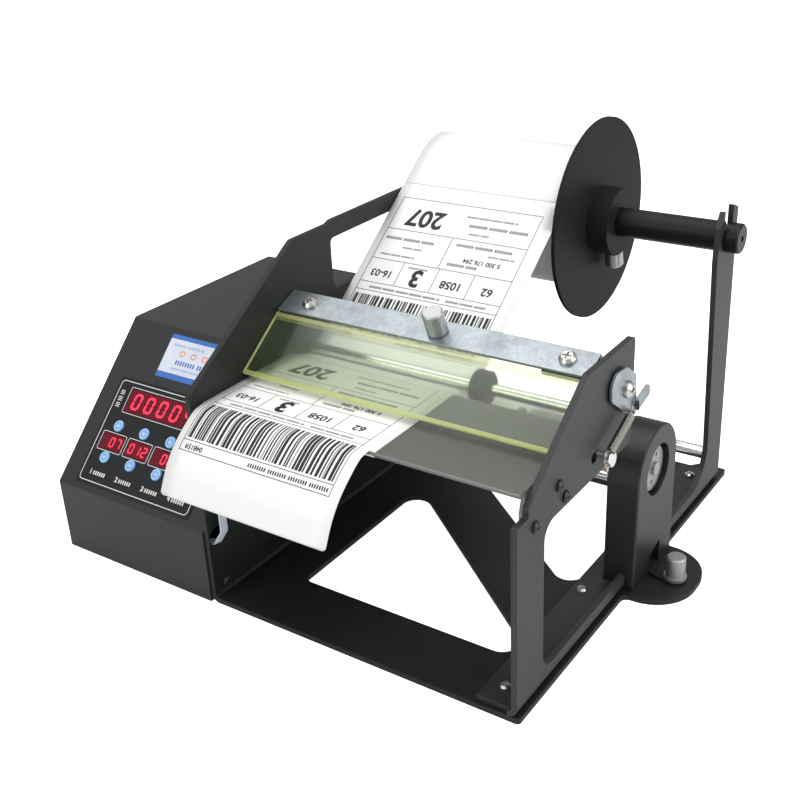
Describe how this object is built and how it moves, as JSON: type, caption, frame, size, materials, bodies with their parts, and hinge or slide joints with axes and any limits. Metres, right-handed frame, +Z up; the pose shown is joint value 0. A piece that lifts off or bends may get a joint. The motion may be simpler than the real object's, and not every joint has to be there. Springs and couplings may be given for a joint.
{
  "type": "label dispenser",
  "caption": "Motor-driven label dispenser with a side control box, peel plate, reel on a grooved shaft and liner rewinder.",
  "frame": {"origin": "underside of the floor sheet, on the diagonal strip between its two triangular cut-outs", "axes": "+X to the right along the rollers, away from the control box; +Y to the rear, from the peel edge to the reel; +Z up"},
  "size_m": [0.3239, 0.3184, 0.2173],
  "materials": {
    "black_plate": "fine matt powder coat, near black",
    "grey_plate": "satin dark grey powder coat",
    "box_paint": "fine textured dark grey powder coat",
    "zinc_sheet": "zinc-plated sheet with a faint spangle",
    "satin_steel": "satin grey steel, fine grain along X",
    "bright_steel": "polished ground rod",
    "plated_screw": "nickel-plated, turned",
    "black_screw": "black oxide",
    "turned_aluminium": "fine turned finish, clear anodised",
    "black_shaft": "gloss black anodised",
    "disc_plastic": "satin dark grey moulding",
    "acrylic": "clear sheet with a green-yellow edge glow",
    "label_paper": "semi-gloss white label stock with printed rows",
    "liner_paper": "glassine liner, satin",
    "core_board": "kraft board",
    "bearing_steel": "ground steel",
    "roller_rubber": "black ground rubber, matt",
    "bronze": "sintered bronze",
    "overlay_film": "printed polyester film, satin",
    "sticker_film": "white film with blue bands",
    "display_red": "dark red filter with lit segments",
    "button_blue": "light blue key caps",
    "board_green": "green board with parts",
    "black_plastic": "moulded black",
    "switch_red": "moulded red",
    "motor_paint": "grey motor case",
    "pulley_alloy": "machined",
    "belt_rubber": "black rubber",
    "spring_steel": "bright spring wire",
    "lead_ribbon": "white and pale blue ribbon"
  },
  "bodies": {
    "frame": {"base_frame": "black_plate", "right_side_plate": "grey_plate", "peel_plate": "satin_steel", "sensor_strip": "zinc_sheet", "acrylic_guard": "acrylic", "pan_screws": "plated_screw", "guide_rod": "bright_steel", "drive_belt": "belt_rubber", "shaft_bushings": "bronze", "side_housing": "grey_plate", "spindle_bearing": "bearing_steel", "tension_spring": "spring_steel", "rear_tie_rod": "bright_steel", "label_web": "label_paper", "liner_return": "liner_paper", "peeled_label": "label_paper", "control_box_shell": "box_paint", "control_box_cover": "box_paint", "panel_overlay": "overlay_film", "panel_sticker": "sticker_film", "main_display": "display_red", "small_displays": "display_red", "control_board": "board_green", "supply_board": "board_green", "power_inlet": "black_plastic", "switch_frame": "black_plastic", "drive_motor": "motor_paint", "take_sensor": "black_plastic", "sensor_lead": "lead_ribbon", "plate_screws": "black_screw", "casing_screws": "plated_screw"},
    "reel": {"reel_shaft": "black_shaft", "roll_core": "core_board", "label_roll": "label_paper"},
    "reel_guide": {"reel_flange": "disc_plastic"},
    "reel_guide_screw": {"flange_thumbscrew": "turned_aluminium"},
    "collar": {"guide_collar": "disc_plastic", "collar_screw": "black_screw"},
    "drive": {"drive_roller": "roller_rubber", "drive_shaft": "bright_steel", "drive_pulley": "pulley_alloy"},
    "pinch_carriage": {"pinch_shaft": "bright_steel"},
    "pinch_wheel": {"pinch_roller": "roller_rubber"},
    "spindle": {"rewind_spindle": "bright_steel", "spindle_pulley": "pulley_alloy", "spindle_cap": "turned_aluminium", "liner_coil": "liner_paper"},
    "motor_output": {"motor_pulley": "pulley_alloy"},
    "lever": {"pressure_lever": "zinc_sheet"},
    "guard_screw": {"guard_thumbscrew": "turned_aluminium"},
    "support_screw": {"ear_thumbscrew": "turned_aluminium"},
    "rocker": {"switch_rocker": "switch_red"},
    "plus_1": {"button_plus_1": "button_blue"},
    "minus_1": {"button_minus_1": "button_blue"},
    "plus_2": {"button_plus_2": "button_blue"},
    "minus_2": {"button_minus_2": "button_blue"},
    "plus_3": {"button_plus_3": "button_blue"},
    "minus_3": {"button_minus_3": "button_blue"},
    "plus_4": {"button_plus_4": "button_blue"},
    "minus_4": {"button_minus_4": "button_blue"}
  },
  "joints": [
    {"name": "reel_spin", "type": "hinge", "parent": "frame", "child": "reel", "pos_m": [0.003, 0.108, 0.1603], "axis": [1, 0, 0], "continuous": true},
    {"name": "reel_guide_slide", "type": "slide", "parent": "reel", "child": "reel_guide", "axis": [1, 0, 0], "range_m": [0, 0.05]},
    {"name": "reel_guide_screw_turn", "type": "hinge", "parent": "reel_guide", "child": "reel_guide_screw", "pos_m": [0.0195, 0.108, 0.1603], "axis": [0, 0.2079, -0.9781], "range_deg": [0, 360]},
    {"name": "collar_slide", "type": "slide", "parent": "frame", "child": "collar", "axis": [1, 0, 0], "range_m": [0, 0.06]},
    {"name": "drive_spin", "type": "hinge", "parent": "frame", "child": "drive", "pos_m": [-0.009, -0.0356, 0.0932], "axis": [1, 0, 0], "continuous": true},
    {"name": "pinch_slide", "type": "slide", "parent": "frame", "child": "pinch_carriage", "axis": [0, -1, 0], "range_m": [0, 0.003], "stiffness_N_per_m": 400, "springref_m": -0.002},
    {"name": "pinch_spin", "type": "hinge", "parent": "pinch_carriage", "child": "pinch_wheel", "pos_m": [-0.009, -0.0496, 0.102], "axis": [1, 0, 0], "continuous": true},
    {"name": "spindle_spin", "type": "hinge", "parent": "frame", "child": "spindle", "pos_m": [-0.009, 0.015, 0.0643], "axis": [1, 0, 0], "continuous": true},
    {"name": "motor_spin", "type": "hinge", "parent": "frame", "child": "motor_output", "pos_m": [-0.106, -0.028, 0.046], "axis": [1, 0, 0], "continuous": true},
    {"name": "lever_turn", "type": "hinge", "parent": "frame", "child": "lever", "pos_m": [0.088, -0.0234, 0.1251], "axis": [1, 0, 0], "range_deg": [-45, 0], "deforming": ["tension_spring"]},
    {"name": "guard_screw_turn", "type": "hinge", "parent": "frame", "child": "guard_screw", "pos_m": [0.001, -0.04776, 0.1457], "axis": [0, -0.3714, 0.9285], "range_deg": [0, 360]},
    {"name": "support_screw_turn", "type": "hinge", "parent": "frame", "child": "support_screw", "pos_m": [0.106, 0.012, 0.01], "axis": [0, 0, 1], "range_deg": [0, 360]},
    {"name": "rocker_tip", "type": "hinge", "parent": "frame", "child": "rocker", "pos_m": [-0.1375, 0.0658, 0.0235], "axis": [1, 0, 0], "range_deg": [-16, 0]},
    {"name": "plus_1_press", "type": "slide", "parent": "frame", "child": "plus_1", "axis": [0, 0.7071, -0.7071], "range_m": [0, 0.0005], "stiffness_N_per_m": 400, "springref_m": -0.0005},
    {"name": "minus_1_press", "type": "slide", "parent": "frame", "child": "minus_1", "axis": [0, 0.7071, -0.7071], "range_m": [0, 0.0005], "stiffness_N_per_m": 400, "springref_m": -0.0005},
    {"name": "plus_2_press", "type": "slide", "parent": "frame", "child": "plus_2", "axis": [0, 0.7071, -0.7071], "range_m": [0, 0.0005], "stiffness_N_per_m": 400, "springref_m": -0.0005},
    {"name": "minus_2_press", "type": "slide", "parent": "frame", "child": "minus_2", "axis": [0, 0.7071, -0.7071], "range_m": [0, 0.0005], "stiffness_N_per_m": 400, "springref_m": -0.0005},
    {"name": "plus_3_press", "type": "slide", "parent": "frame", "child": "plus_3", "axis": [0, 0.7071, -0.7071], "range_m": [0, 0.0005], "stiffness_N_per_m": 400, "springref_m": -0.0005},
    {"name": "minus_3_press", "type": "slide", "parent": "frame", "child": "minus_3", "axis": [0, 0.7071, -0.7071], "range_m": [0, 0.0005], "stiffness_N_per_m": 400, "springref_m": -0.0005},
    {"name": "plus_4_press", "type": "slide", "parent": "frame", "child": "plus_4", "axis": [0, 0.7071, -0.7071], "range_m": [0, 0.0005], "stiffness_N_per_m": 400, "springref_m": -0.0005},
    {"name": "minus_4_press", "type": "slide", "parent": "frame", "child": "minus_4", "axis": [0, 0.7071, -0.7071], "range_m": [0, 0.0005], "stiffness_N_per_m": 400, "springref_m": -0.0005}
  ],
  "couplings": [
    {"joint": "drive_spin", "follows": "reel_spin", "ratio": 4.3478},
    {"joint": "pinch_spin", "follows": "reel_spin", "ratio": -5.7143},
    {"joint": "spindle_spin", "follows": "reel_spin", "ratio": 3.01},
    {"joint": "motor_spin", "follows": "reel_spin", "ratio": 4.3478}
  ]
}
